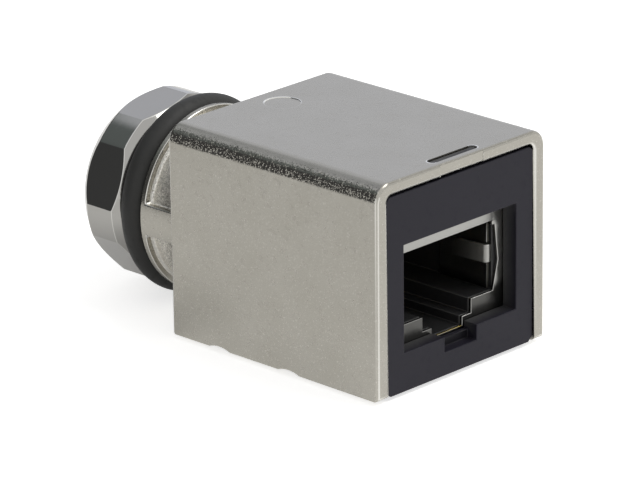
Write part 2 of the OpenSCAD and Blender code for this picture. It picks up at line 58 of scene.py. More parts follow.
# Camera
# A long lens looks down on the port's left corner from a little above the box.
# The turn, the height and the small roll are those of the photograph.
MM = 0.001
scene = bpy.context.scene
view_azimuth = math.radians(-46.157)
view_elevation = math.radians(19.86)
view_roll = math.radians(-0.61)
view_distance = 453.05 * MM
view_target = Vector((0.221, -14.1, -1.044)) * MM
camera_back = Vector((
    math.sin(view_azimuth) * math.cos(view_elevation),
    -math.cos(view_azimuth) * math.cos(view_elevation),
    math.sin(view_elevation),
))
level_right = Vector((math.cos(view_azimuth), math.sin(view_azimuth), 0.0))
level_up = camera_back.cross(level_right)
camera_right = level_right * math.cos(view_roll) + level_up * math.sin(view_roll)
camera_up = level_up * math.cos(view_roll) - level_right * math.sin(view_roll)
camera_turn = Matrix((camera_right, camera_up, camera_back)).transposed().to_4x4()
camera = bpy.data.objects.new("camera", bpy.data.cameras.new("camera"))
camera.data.lens = 281.09
camera.data.sensor_width = 36.0
camera.data.clip_end = 20.0
scene.collection.objects.link(camera)
camera.matrix_world = Matrix.Translation(view_target + camera_back * view_distance) @ camera_turn
scene.camera = camera
scene.view_settings.view_transform = "Standard"


# Studio
# A white table under an even white sky, lit by one soft lamp above the front corner.
# Cards that glow and that only reflections see paint the plating's reflections. A cool card behind
# on the right tints what the top reflects, and dark cards on the left and in front give the plating
# its dark reflections.
def node(tree, kind, **settings):
    """A new node with its settings."""
    made = tree.nodes.new(kind)
    for name, value in settings.items():
        setattr(made, name, value)
    return made


def link(tree, source, output, target, entry):
    tree.links.new(source.outputs[output], target.inputs[entry])


def maths(tree, operation, first, second=0.0):
    """One sum of two sockets or numbers."""
    made = node(tree, "ShaderNodeMath", operation=operation)
    for entry, value in enumerate((first, second)):
        if isinstance(value, (int, float)):
            made.inputs[entry].default_value = value
        else:
            tree.links.new(value, made.inputs[entry])
    return made.outputs["Value"]


def product(tree, first, *others):
    """The product of several sockets or numbers."""
    for other in others:
        first = maths(tree, "MULTIPLY", first, other)
    return first


def ramp(tree, value, start, end, low=0.0, high=1.0, smooth=True):
    """Takes a value between a start and an end to a range, smoothly or evenly."""
    made = node(tree, "ShaderNodeMapRange", interpolation_type="SMOOTHSTEP" if smooth else "LINEAR")
    for entry, number in (("From Min", start), ("From Max", end), ("To Min", low), ("To Max", high)):
        made.inputs[entry].default_value = number
    tree.links.new(value, made.inputs["Value"])
    return made.outputs["Result"]


def spread(tree, mask, low, high):
    """Maps a mask from nought and one to a range of values."""
    return ramp(tree, mask, 0.0, 1.0, low, high, smooth=False)


def split(tree, vector):
    """The three parts of a vector, by the names X, Y and Z."""
    made = node(tree, "ShaderNodeSeparateXYZ")
    tree.links.new(vector, made.inputs["Vector"])
    return made.outputs


def seen_as_backdrop(tree):
    """One where the camera, a reflection or glass looks at the surroundings."""
    path = node(tree, "ShaderNodeLightPath").outputs
    seen = maths(tree, "MAXIMUM", path["Is Camera Ray"], path["Is Glossy Ray"])
    return maths(tree, "MAXIMUM", seen, path["Is Transmission Ray"])


def mesh_object(name, points, faces):
    """An object with a mesh of points and faces."""
    mesh = bpy.data.meshes.new(name)
    mesh.from_pydata(points, [], faces)
    made = bpy.data.objects.new(name, mesh)
    scene.collection.objects.link(made)
    return made


sky_level = 0.48
sky_seen = 0.93
world = bpy.data.worlds.new("white_sky")
scene.world = world
world.use_nodes = True
tree = world.node_tree
sky = tree.nodes["Background"]
sky.inputs["Color"].default_value = (1.0, 1.0, 1.0, 1.0)
tree.links.new(spread(tree, seen_as_backdrop(tree), sky_level, sky_seen), sky.inputs["Strength"])

table_half = 3.0
table_z = cad_low.z
table_colour = (0.90, 0.895, 0.885, 1.0)
glow_to_camera = 0.66
glow_to_reflections = 0.24
front_from_y, front_to_y = -22.0 * MM, -58.0 * MM
front_gain = 0.12
beside_from_x, beside_to_x = -30.0 * MM, -9.0 * MM
beside_end_y = -10.0 * MM
beside_gain = 0.34
table_top = mesh_object("table_top", [
    (-table_half, -table_half, table_z),
    (table_half, -table_half, table_z),
    (table_half, table_half, table_z),
    (-table_half, table_half, table_z),
], [(0, 1, 2, 3)])
table_white = bpy.data.materials.new("table_white")
table_white.use_nodes = True
tree = table_white.node_tree
tree.nodes.clear()
paint = node(tree, "ShaderNodeBsdfDiffuse")
paint.inputs["Color"].default_value = table_colour
table_rays = node(tree, "ShaderNodeLightPath").outputs
table_glow = node(tree, "ShaderNodeEmission")
paint_and_glow = node(tree, "ShaderNodeAddShader")
table_out = node(tree, "ShaderNodeOutputMaterial")
on_table = split(tree, node(tree, "ShaderNodeTexCoord").outputs["Object"])
# Painted light: in reflections the table glows brighter in front of the box and beside it on the left,
# filling the box's shadow.
glow_in_front = ramp(tree, on_table["Y"], front_from_y, front_to_y, high=front_gain)
glow_beside = product(
    tree,
    ramp(tree, on_table["X"], beside_from_x, beside_to_x, high=beside_gain),
    ramp(tree, on_table["Y"], front_to_y, front_from_y),
    ramp(tree, on_table["Y"], 0.0, beside_end_y),
)
lifted = maths(tree, "ADD", maths(tree, "ADD", glow_in_front, glow_beside), glow_to_reflections)
to_camera = product(tree, table_rays["Is Camera Ray"], glow_to_camera)
to_reflections = product(tree, table_rays["Is Glossy Ray"], lifted)
tree.links.new(maths(tree, "ADD", to_camera, to_reflections), table_glow.inputs["Strength"])
link(tree, paint, "BSDF", paint_and_glow, 0)
link(tree, table_glow, "Emission", paint_and_glow, 1)
link(tree, paint_and_glow, "Shader", table_out, "Surface")
table_top.data.materials.append(table_white)


def smooth_step(low, high, value):
    share = min(1.0, max(0.0, (value - low) / (high - low)))
    return share * share * (3.0 - 2.0 * share)


def between(value, rise_from, rise_to, fall_from, fall_to):
    """One on a stretch of values, with a soft slope at each end."""
    return smooth_step(rise_from, rise_to, value) * (1.0 - smooth_step(fall_from, fall_to, value))


card_middle_y = -12.0 * MM
card_lift = 0.2 * MM


def bent_card(name, turns, rises, radius, shade):
    """A glowing card that bends round the adapter and that only reflections see: a painted reflection.

    Turns and rises are in degrees from its middle, and the shade gives colour and cover for each of them.
    Below the horizon the card lies on the table, as far out as the top of the box sees it at that angle."""
    columns, rows = 48, 84
    points, shades = [], []
    for i in range(columns + 1):
        turn = turns[0] + (turns[1] - turns[0]) * i / columns
        for j in range(rows + 1):
            rise = rises[0] + (rises[1] - rises[0]) * j / rows
            slope = math.tan(math.radians(rise))
            reach = min(radius, (table_z - cad_high.z) / slope) if rise < 0.0 else radius
            points.append((
                reach * math.cos(math.radians(turn)),
                reach * math.sin(math.radians(turn)) + card_middle_y,
                max(table_z + card_lift, reach * slope),
            ))
            shades += shade(turn, rise)
    first = [i * (rows + 1) + j for i in range(columns) for j in range(rows)]
    card = mesh_object(name, points, [(k, k + rows + 1, k + rows + 2, k + 1) for k in first])
    card.data.color_attributes.new("shade", "FLOAT_COLOR", "POINT").data.foreach_set("color", shades)
    card_glow = bpy.data.materials.new(name + "_felt")
    card_glow.use_nodes = True
    tree = card_glow.node_tree
    tree.nodes.clear()
    painted = node(tree, "ShaderNodeAttribute", attribute_name="shade")
    card_light = node(tree, "ShaderNodeEmission")
    through = node(tree, "ShaderNodeBsdfTransparent")
    cover = node(tree, "ShaderNodeMixShader")
    out = node(tree, "ShaderNodeOutputMaterial")
    link(tree, painted, "Color", card_light, "Color")
    link(tree, painted, "Alpha", cover, "Fac")
    tree.links.new(through.outputs["BSDF"], cover.inputs[1])
    tree.links.new(card_light.outputs["Emission"], cover.inputs[2])
    link(tree, cover, "Shader", out, "Surface")
    card.data.materials.append(card_glow)
    card.visible_camera = False
    card.visible_diffuse = False
    card.visible_shadow = False
    card.visible_transmission = False


left_card_foot = (0.085, 0.086, 0.088)
left_card_bands = (
    (31.0, 36.0, (0.195, 0.218, 0.217)),
    (44.2, 46.7, (0.850, 0.875, 0.930)),
    (47.9, 52.2, (0.448, 0.460, 0.505)),
)
left_card_turns = (57.5, 71.0)
left_card_table_turns = (98.0, 112.0)
left_card_table_rises = (-2.0, 0.0)
left_card_rises = (-12.5, -10.0, 67.0, 73.0)
front_card_grey = (0.54, 0.54, 0.54)
front_card_turns = (-60.0, -45.0, -2.0, 10.0)
front_card_rises = (28.0, 36.0, 50.0, 58.0)
cool_card_blue = (0.795, 0.815, 0.885)
cool_card_turns = (8.0, 20.0, 84.0, 104.0)
cool_card_top = (48.0, 58.0)


def left_shade(turn, rise):
    """Dark at the foot, then one band after another up to a pale grey."""
    on_the_table = 1.0 - smooth_step(*left_card_table_rises, rise)
    cover = smooth_step(*left_card_turns, turn) * between(rise, *left_card_rises)
    cover *= 1.0 - on_the_table * (1.0 - smooth_step(*left_card_table_turns, turn))
    colour = Vector(left_card_foot)
    for low, high, band_colour in left_card_bands:
        colour = colour.lerp(Vector(band_colour), smooth_step(low, high, rise))
    return (*colour, cover)


def front_shade(turn, rise):
    return (*front_card_grey, between(turn, *front_card_turns) * between(rise, *front_card_rises))


def cool_shade(turn, rise):
    return (*cool_card_blue, between(turn, *cool_card_turns) * (1.0 - smooth_step(*cool_card_top, rise)))


bent_card("left_card", turns=(50.0, 172.0), rises=(-13.0, 74.0), radius=0.36, shade=left_shade)
bent_card("front_card", turns=(-62.0, 12.0), rises=(26.0, 59.0), radius=0.40, shade=front_shade)
bent_card("cool_card", turns=(6.0, 106.0), rises=(-1.0, 59.0), radius=0.80, shade=cool_shade)

key_distance = 0.9
key_towards = Vector((0.42, -0.45, 0.95)).normalized()
key_turn = key_towards.to_track_quat("Z", "Y").to_matrix().to_4x4()
key_lamp = bpy.data.lights.new("key_lamp", "AREA")
key_lamp.size = 0.5
key_lamp.energy = 3.4
key_lamp.color = (1.0, 0.995, 0.98)
key_holder = bpy.data.objects.new("key_lamp", key_lamp)
key_holder.matrix_world = Matrix.Translation(key_towards * key_distance) @ key_turn
key_holder.visible_camera = False
scene.collection.objects.link(key_holder)


# Housing
# One zinc die casting: the box, its rear wall, the pocketed boss, the flange and the threaded neck.
# It is tumbled, so its sides keep a fine cast grain, and then plated with satin nickel; the top is smooth.
def all_but_slivers(place, area):
    return 1.0 if area > 0.1 else 0.0


merge_distance = 0.0005 * MM
flat_within = math.radians(0.3)


def cad_copy(node_name, piece_name, bevel_mm, share=all_but_slivers, keep_sharp_deg=30.0):
    """A copy of a solid's mesh, merged, with whole flat faces and its free edges broken by a small bevel.

    The share says how much of the bevel an edge gets, from its place and from the smaller face beside it,
    in millimetres. The points along the middle of each bevel are marked for the materials,
    which paint them lighter: partly wear, partly a painted highlight."""
    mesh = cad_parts[node_name].data.copy()
    mesh.name = piece_name
    whole_slot, bevel_slot = 0, 1
    mesh.materials.clear()
    while len(mesh.materials) <= bevel_slot:
        mesh.materials.append(None)
    piece = bpy.data.objects.new(piece_name, mesh)
    scene.collection.objects.link(piece)
    form = bmesh.new()
    form.from_mesh(mesh)
    bmesh.ops.remove_doubles(form, verts=form.verts, dist=merge_distance)
    bmesh.ops.dissolve_limit(form, angle_limit=flat_within, verts=form.verts, edges=form.edges)
    weight = form.edges.layers.float.new("bevel_weight_edge")
    sharp = math.radians(keep_sharp_deg)
    for face in form.faces:
        face.smooth = True
        face.material_index = whole_slot
    for edge in form.edges:
        if len(edge.link_faces) != 2:
            continue
        turn = edge.calc_face_angle(0.0)
        edge.smooth = turn < sharp
        if turn >= sharp:
            area = min(f.calc_area() for f in edge.link_faces) / (MM * MM)
            edge[weight] = share((edge.verts[0].co + edge.verts[1].co) / (2 * MM), area)
    form.to_mesh(mesh)
    form.free()
    bevel = piece.modifiers.new("broken_edges", "BEVEL")
    bevel.limit_method = "WEIGHT"
    bevel.width = bevel_mm * MM
    bevel.segments = 2
    bevel.use_clamp_overlap = False
    bevel.loop_slide = False
    bevel.material = bevel_slot
    even = piece.modifiers.new("even_shading", "WEIGHTED_NORMAL")
    even.keep_sharp = True
    settle(piece)
    on_bevel_only = [True] * len(piece.data.vertices)
    for face in piece.data.polygons:
        if face.material_index == whole_slot:
            for i in face.vertices:
                on_bevel_only[i] = False
        face.material_index = whole_slot
    piece.data.materials.clear()
    wear_and_highlight = piece.data.attributes.new("wear_and_highlight", "FLOAT", "POINT")
    wear_and_highlight.data.foreach_set("value", [float(w) for w in on_bevel_only])
    return piece


def settle(piece):
    """Turns a piece with modifiers into a plain mesh."""
    evaluated = piece.evaluated_get(bpy.context.evaluated_depsgraph_get())
    done = bpy.data.meshes.new_from_object(evaluated)
    old = piece.data
    piece.modifiers.clear()
    piece.data = done
    done.name = piece.name
    if old.users == 0:
        bpy.data.meshes.remove(old)


def surface_group(name, inputs, outputs):
    """A new shader node group with its inputs and its outputs."""
    group = bpy.data.node_groups.new(name, "ShaderNodeTree")
    for label, value in inputs.items():
        kind = "NodeSocketVector" if value is None else "NodeSocketFloat"
        socket = group.interface.new_socket(label, in_out="INPUT", socket_type=kind)
        if value is not None:
            socket.default_value = value
    for label in outputs:
        group.interface.new_socket(label, in_out="OUTPUT", socket_type="NodeSocketFloat")
    return group, node(group, "NodeGroupInput"), node(group, "NodeGroupOutput")


def scaled_noise(tree, source, size_entry, detail, rough):
    """Noise whose features have the size, in millimetres, that an input gives."""
    noise = node(tree, "ShaderNodeTexNoise")
    noise.inputs["Detail"].default_value = detail
    noise.inputs["Roughness"].default_value = rough
    link(tree, source, "Place", noise, "Vector")
    tree.links.new(maths(tree, "DIVIDE", 1.0 / MM, source.outputs[size_entry]), noise.inputs["Scale"])
    return noise.outputs["Fac"]


# Grain that casting, moulding or tumbling leaves: small round bumps over a softer unevenness
speck_from, speck_to = 0.60, 0.74
grain_group, grain_in, grain_out = surface_group(
    "skin_grain",
    {"Place": None, "Grain size": 0.2, "Swell size": 1.2, "Swell share": 0.35},
    ["Height", "Speckle"],
)
fine = scaled_noise(grain_group, grain_in, "Grain size", 2.0, 0.55)
swell = scaled_noise(grain_group, grain_in, "Swell size", 2.0, 0.5)
mixed = node(grain_group, "ShaderNodeMix", data_type="FLOAT")
link(grain_group, grain_in, "Swell share", mixed, "Factor")
grain_group.links.new(fine, mixed.inputs["A"])
grain_group.links.new(swell, mixed.inputs["B"])
link(grain_group, mixed, "Result", grain_out, "Height")
grain_group.links.new(ramp(grain_group, fine, speck_from, speck_to), grain_out.inputs["Speckle"])

# Unevenness of a finish: soft clouds and thin smears left by handling
smear_from, smear_to = 0.52, 0.70
smear_group, smear_in, smear_out = surface_group(
    "handled_finish", {"Place": None, "Cloud size": 4.0, "Smear size": 0.9}, ["Cloud", "Smear"])
smear = scaled_noise(smear_group, smear_in, "Smear size", 4.0, 0.62)
smear_group.links.new(scaled_noise(smear_group, smear_in, "Cloud size", 3.0, 0.5), smear_out.inputs["Cloud"])
smear_group.links.new(ramp(smear_group, smear, smear_from, smear_to), smear_out.inputs["Smear"])


def start_material(name):
    """A new material with its shader and the place on the piece that its patterns follow."""
    made = bpy.data.materials.new(name)
    made.use_nodes = True
    tree = made.node_tree
    place = node(tree, "ShaderNodeTexCoord").outputs["Object"]
    return made, tree, tree.nodes["Principled BSDF"], place


def place_group(tree, group, place, **values):
    """Puts a node group into a material, with the sizes it has there."""
    used = node(tree, "ShaderNodeGroup", node_tree=group)
    tree.links.new(place, used.inputs["Place"])
    for label, value in values.items():
        used.inputs[label.replace("_", " ")].default_value = value
    return used.outputs


def blend(tree, factor, first, second):
    """Mixes two colours by a factor."""
    mix = node(tree, "ShaderNodeMix", data_type="RGBA")
    for entry, colour in (("A", first), ("B", second)):
        if isinstance(colour, tuple):
            mix.inputs[entry].default_value = (*colour, 1.0)
        else:
            tree.links.new(colour, mix.inputs[entry])
    tree.links.new(factor, mix.inputs["Factor"])
    return mix.outputs["Result"]


def mark(tree, name):
    """A value that was written to the points of a piece."""
    return node(tree, "ShaderNodeAttribute", attribute_name=name).outputs["Fac"]


def bump(tree, height, depth_mm, normal=None):
    """Raises the surface by a height to a depth in millimetres, over a normal if one is given."""
    raised = node(tree, "ShaderNodeBump")
    raised.inputs["Distance"].default_value = depth_mm * MM
    tree.links.new(height, raised.inputs["Height"])
    if normal is not None:
        tree.links.new(normal, raised.inputs["Normal"])
    return raised.outputs["Normal"]


def lean_normal(tree, lean):
    """The surface's normal, leaned by a vector."""
    facing = node(tree, "ShaderNodeVectorMath", operation="ADD")
    facet = node(tree, "ShaderNodeVectorMath", operation="NORMALIZE")
    tree.links.new(lean, facing.inputs[0])
    link(tree, node(tree, "ShaderNodeNewGeometry"), "Normal", facing, 1)
    link(tree, facing, "Vector", facet, 0)
    return facet.outputs["Vector"]


def distance(tree, across, along):
    """How far a place is from an axis, by its two distances across that axis."""
    offset = node(tree, "ShaderNodeCombineXYZ")
    reach = node(tree, "ShaderNodeVectorMath", operation="LENGTH")
    tree.links.new(across, offset.inputs["X"])
    tree.links.new(along, offset.inputs["Y"])
    link(tree, offset, "Vector", reach, 0)
    return reach.outputs["Value"]


def ring_line(tree, across, along, radius_mm):
    """A thin line round an axis, which fades to either side."""
    core, edge = 0.03 * MM, 0.10 * MM
    past_line = maths(tree, "SUBTRACT", distance(tree, across, along), radius_mm * MM)
    return ramp(tree, maths(tree, "ABSOLUTE", past_line), edge, core)


def finish_shader(tree, shader, colour, roughness, normal):
    """Joins what was made for a material to its shader."""
    tree.links.new(colour, shader.inputs["Base Color"])
    tree.links.new(roughness, shader.inputs["Roughness"])
    tree.links.new(normal, shader.inputs["Normal"])


def mark_points(piece, name, rule):
    """Writes a value to every point of a piece, by a rule of the point's place in millimetres and normal."""
    marks = piece.data.attributes.get(name) or piece.data.attributes.new(name, "FLOAT", "POINT")
    for point in piece.data.vertices:
        value = marks.data[point.index]
        value.value = max(value.value, rule(point.co / MM, point.normal))


satin_nickel, tree, shader, place = start_material("satin_nickel")
shader.inputs["Metallic"].default_value = 1.0
grain = place_group(tree, grain_group, place, Grain_size=0.16, Swell_size=0.9, Swell_share=0.25)
finish = place_group(tree, smear_group, place, Cloud_size=3.5, Smear_size=0.7)
spot = split(tree, place)
wear_and_highlight, edge_grain = mark(tree, "wear_and_highlight"), mark(tree, "edge_grain")
plating = blend(tree, finish["Cloud"], (0.378, 0.363, 0.321), (0.422, 0.407, 0.367))

# The top is smooth, and the pockets of the boss are out of reach of the tumbling
smooth_from_z, smooth_to_z = 10.25, 10.85
grain_on_top = 0.012
pocket_radius = 8.3
pocket_from_y, pocket_to_y = -6.08, -0.3
grained = ramp(tree, spot["Z"], smooth_from_z * MM, smooth_to_z * MM, 1.0, grain_on_top)
on_top = maths(tree, "GREATER_THAN", spot["Z"], smooth_to_z * MM)
as_cast = product(
    tree,
    maths(tree, "LESS_THAN", distance(tree, spot["X"], spot["Z"]), pocket_radius * MM),
    maths(tree, "GREATER_THAN", spot["Y"], pocket_from_y * MM),
    maths(tree, "LESS_THAN", spot["Y"], pocket_to_y * MM),
)

# Crystals of the plating: a few lie loose, and those catch the light on the long edges and in the pockets
crystal_size = 0.076
loose_share = 0.20
loose_lean, firm_lean = 0.76, 0.09
cast_lean = 2.4
bright_above, bright_share = 0.975, 0.55
speckle_share = 0.45
crystals = node(tree, "ShaderNodeTexVoronoi")
crystals.inputs["Scale"].default_value = 1.0 / (crystal_size * MM)
tree.links.new(place, crystals.inputs["Vector"])
pick = node(tree, "ShaderNodeSeparateColor")
link(tree, crystals, "Color", pick, "Color")
bright_grain = product(tree, maths(tree, "GREATER_THAN", pick.outputs["Red"], bright_above), bright_share)
speckle = maths(tree, "MAXIMUM", spread(tree, grain["Speckle"], 0.0, speckle_share), bright_grain)
flecked = blend(tree, product(tree, speckle, grained), plating, (0.62, 0.60, 0.56))
tilt = node(tree, "ShaderNodeVectorMath", operation="SUBTRACT")
tilt.inputs[1].default_value = (0.5, 0.5, 0.5)
tilted = node(tree, "ShaderNodeVectorMath", operation="SCALE")
link(tree, crystals, "Color", tilt, 0)
link(tree, tilt, "Vector", tilted, 0)
loose = maths(tree, "LESS_THAN", pick.outputs["Blue"], loose_share)
lean_of_one = maths(tree, "ADD", product(tree, loose, loose_lean), firm_lean)
coarseness = maths(tree, "MAXIMUM", edge_grain, product(tree, as_cast, cast_lean))
tree.links.new(product(tree, coarseness, lean_of_one), tilted.inputs["Scale"])

# Painted highlights on the rims of the dish and of the slot's ends, brighter on the dish's far side
dish_x, dish_y = 0.4, -9.4
dish_radius = 1.7
dish_near, dish_far = -0.6, 0.9
dish_near_share = 0.12
slot_end_x, slot_y = 2.62, -30.5
slot_end_radius = 0.48
dish_across = maths(tree, "SUBTRACT", spot["X"], dish_x * MM)
dish_along = maths(tree, "SUBTRACT", spot["Y"], dish_y * MM)
far_side = ramp(
    tree, maths(tree, "ADD", dish_across, dish_along), dish_near * MM, dish_far * MM, low=dish_near_share)
dish_rim = product(tree, ring_line(tree, dish_across, dish_along, dish_radius), far_side)
past_end = maths(tree, "SUBTRACT", maths(tree, "ABSOLUTE", spot["X"]), slot_end_x * MM)
slot_along = maths(tree, "SUBTRACT", spot["Y"], slot_y * MM)
slot_line = ring_line(tree, past_end, slot_along, slot_end_radius)
slot_rim = product(tree, slot_line, maths(tree, "GREATER_THAN", past_end, 0.0))
painted_rim_highlights = product(tree, maths(tree, "MAXIMUM", dish_rim, slot_rim), on_top)

# The pockets are mottled, with painted light towards the flange and painted shade deeper in, towards the box
pocket_dark_y, pocket_light_y = -3.0, -0.9
grain_depth = 0.007
cast_depth = 6.0
cast_dulling, edge_polish = 0.25, 0.12
painted_light_to_flange = ramp(tree, spot["Y"], pocket_dark_y * MM, pocket_light_y * MM, 0.05, 0.75, smooth=False)
mottle_and_painted_light = maths(tree, "ADD", painted_light_to_flange, spread(tree, pick.outputs["Green"], -0.25, 0.55))
cast_skin_and_painted_light = blend(tree, mottle_and_painted_light, (0.26, 0.245, 0.215), (1.0, 0.97, 0.90))
# Marked edges are painted lighter: partly rubbed wear, partly a painted highlight.
burnished_and_highlit = blend(tree, wear_and_highlight, blend(tree, as_cast, flecked, cast_skin_and_painted_light), (0.74, 0.73, 0.69))
polished = product(tree, edge_grain, edge_polish)
dulled = maths(tree, "SUBTRACT", product(tree, as_cast, cast_dulling), polished)
relief = product(tree, grain["Height"], maths(tree, "ADD", grained, product(tree, as_cast, cast_depth)))
finish_shader(
    tree, shader,
    blend(tree, painted_rim_highlights, burnished_and_highlit, (0.95, 0.95, 0.93)),
    maths(tree, "ADD", spread(tree, finish["Smear"], 0.24, 0.32), dulled),
    bump(tree, relief, grain_depth, lean_normal(tree, tilted.outputs["Vector"])),
)

half_width, front_y, top_z = cad_high.x / MM, cad_low.y / MM, cad_high.z / MM
rear_y = -6.1
flange_back_y = -0.6
neck_end_y = cad_high.y / MM
end_edge_radius = 0.35
top_edge_radius = 1.7
rim_depth = 0.5
rim_top_drop = 1.1
neck_end_depth = 0.5
plain_top_from_y = -14.4
relief_half_width = 3.0
relief_face, sliver_face = 0.5, 0.1
relief_share, neck_share, edge_share = 0.1, 0.17, 0.36
pocket_reach = pocket_radius + 0.2
near, close = 0.05, 0.1
steep = 0.3
line_lean, line_half_gap, line_fade = 45.0, 22.5, 15.0
grain_rise, grain_end, grain_fade = 18.0, 62.0, 16.0
least_lean = 1.0


def housing_bevel(place, area):
    """The rim's inner edge and the foot of the pockets are rounded most, and the dish not at all."""
    if place.y < front_y + rim_depth:
        if area < relief_face:
            return relief_share if abs(place.x) < relief_half_width else 0.0
        return 1.0 if place.z < top_z - rim_top_drop else 0.0
    if area < sliver_face:
        return 0.0
    if place.y > neck_end_y - neck_end_depth:
        return neck_share
    if abs(place.y - flange_back_y) < close and math.hypot(place.x, place.z) < pocket_reach:
        return 1.0
    if place.z > top_z - close:
        return edge_share if place.y < plain_top_from_y else 0.0
    return edge_share


def rubbed_and_highlit_lines(place, normal):
    """Two lines along the rounding of the box's upright edges are lighter: partly rubbed wear, partly a
    painted highlight.
    """
    to_end = min(abs(place.y - front_y), abs(place.y - rear_y))
    to_side = half_width - abs(place.x)
    if max(to_end, to_side) > end_edge_radius + near or abs(normal.z) > steep:
        return 0.0
    lean = math.degrees(math.asin(min(1.0, abs(normal.y))))
    return max(0.0, 1.0 - abs(abs(lean - line_lean) - line_half_gap) / line_fade)


def long_edge_grain(place, normal):
    """The two long top edges keep the coarse grain of the mould."""
    to_side = half_width - abs(place.x)
    if abs(normal.y) > steep or place.y > rear_y or to_side > top_edge_radius + near:
        return 0.0
    lean = math.degrees(math.asin(max(0.0, min(1.0, normal.z))))
    if lean <= least_lean:
        return 0.0
    return min(1.0, lean / grain_rise) * max(0.0, min(1.0, (grain_end - lean) / grain_fade))


housing = cad_copy("housing", "housing_casting", bevel_mm=0.28, share=housing_bevel)
mark_points(housing, "wear_and_highlight", rubbed_and_highlit_lines)
mark_points(housing, "edge_grain", long_edge_grain)
housing.data.materials.append(satin_nickel)
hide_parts("housing")
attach(housing, "root")


# Socket thread
# The M12 thread that takes the plug's union nut, tapped into the neck after casting.
# Its ridge follows a helix inwards from the root and runs out at both ends.
def geometry_tree(name, inputs):
    """A new geometry node tree with its inputs."""
    tree = bpy.data.node_groups.new(name, "GeometryNodeTree")
    tree.interface.new_socket("Geometry", in_out="OUTPUT", socket_type="NodeSocketGeometry")
    for label, kind in inputs.items():
        tree.interface.new_socket(label, in_out="INPUT", socket_type="NodeSocket" + kind)
    return tree, node(tree, "NodeGroupInput"), node(tree, "NodeGroupOutput")


def grow(name, tree, values):
    """An object whose mesh a node tree has grown from the values given to its inputs."""
    grown = bpy.data.objects.new(name, bpy.data.meshes.new(name))
    scene.collection.objects.link(grown)
    modifier = grown.modifiers.new("grown", "NODES")
    modifier.node_group = tree
    for item in tree.interface.items_tree:
        if item.item_type == "SOCKET" and item.in_out == "INPUT":
            modifier[item.identifier] = values[item.name]
    settle(grown)
    return grown


def end_tree(tree, last, source, out):
    """Every tree ends in real geometry with its material and smooth faces."""
    real = node(tree, "GeometryNodeRealizeInstances")
    smooth = node(tree, "GeometryNodeSetShadeSmooth")
    coated = node(tree, "GeometryNodeSetMaterial")
    for first, second in ((last, real), (real, smooth), (smooth, coated), (coated, out)):
        link(tree, first, "Geometry", second, "Geometry")
    link(tree, source, "Material", coated, "Material")


thread_tree, source, out = geometry_tree("socket_thread", {
    "Root radius": "Float",
    "Length": "Float",
    "Turns": "Float",
    "Ridge height": "Float",
    "Ridge half width": "Float",
    "Crest half width": "Float",
    "Inner end": "Float",
    "Material": "Material",
})
helix = node(thread_tree, "GeometryNodeCurveSpiral")
helix.inputs["Resolution"].default_value = 72
link(thread_tree, source, "Turns", helix, "Rotations")
link(thread_tree, source, "Root radius", helix, "Start Radius")
link(thread_tree, source, "Root radius", helix, "End Radius")
link(thread_tree, source, "Length", helix, "Height")
upright = node(thread_tree, "GeometryNodeSetCurveNormal", mode="Z_UP")
along = node(thread_tree, "GeometryNodeSplineParameter")
run_out = node(thread_tree, "ShaderNodeFloatCurve")
run_out_curve = run_out.mapping.curves[0]
run_out_share = 0.06
run_out_curve.points.new(run_out_share, 1.0)
run_out_curve.points.new(1.0 - run_out_share, 1.0)
run_out_curve.points[0].location = (0.0, 0.0)
run_out_curve.points[-1].location = (1.0, 0.0)
run_out.mapping.update()
link(thread_tree, helix, "Curve", upright, "Curve")
link(thread_tree, along, "Factor", run_out, "Value")
ridge = node(thread_tree, "GeometryNodeCurvePrimitiveQuadrilateral", mode="POINTS")
for i, (inward_share, side, half_width_name) in enumerate((
    (0.0, -1.0, "Ridge half width"),
    (1.0, -1.0, "Crest half width"),
    (1.0, 1.0, "Crest half width"),
    (0.0, 1.0, "Ridge half width"),
)):
    corner = node(thread_tree, "ShaderNodeCombineXYZ")
    inwards = product(thread_tree, source.outputs["Ridge height"], inward_share)
    sideways = product(thread_tree, source.outputs[half_width_name], side)
    thread_tree.links.new(inwards, corner.inputs["X"])
    thread_tree.links.new(sideways, corner.inputs["Y"])
    link(thread_tree, corner, "Vector", ridge, "Point %d" % (i + 1))
swept = node(thread_tree, "GeometryNodeCurveToMesh")
swept.inputs["Fill Caps"].default_value = True
link(thread_tree, upright, "Curve", swept, "Curve")
link(thread_tree, ridge, "Curve", swept, "Profile Curve")
link(thread_tree, run_out, "Value", swept, "Scale")
lay_along_y = node(thread_tree, "GeometryNodeTransform")
lay_along_y.inputs["Rotation"].default_value = (math.radians(-90.0), 0.0, 0.0)
start_y = node(thread_tree, "ShaderNodeCombineXYZ")
link(thread_tree, source, "Inner end", start_y, "Y")
link(thread_tree, swept, "Mesh", lay_along_y, "Geometry")
link(thread_tree, start_y, "Vector", lay_along_y, "Translation")
end_tree(thread_tree, lay_along_y, source, out)

thread_pitch = 1.0 * MM
thread_length = 8.2 * MM
thread_setback = 0.35 * MM
socket_root_radius = 6.0 * MM
sunk_in_wall = 0.02 * MM
socket_thread = grow("socket_thread", thread_tree, {
    "Root radius": socket_root_radius + sunk_in_wall,
    "Length": thread_length,
    "Turns": thread_length / thread_pitch,
    "Ridge height": 0.56 * MM,
    "Ridge half width": 0.42 * MM,
    "Crest half width": 0.07 * MM,
    "Inner end": cad_high.y - thread_length - thread_setback,
    "Material": satin_nickel,
})
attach(socket_thread, "root")


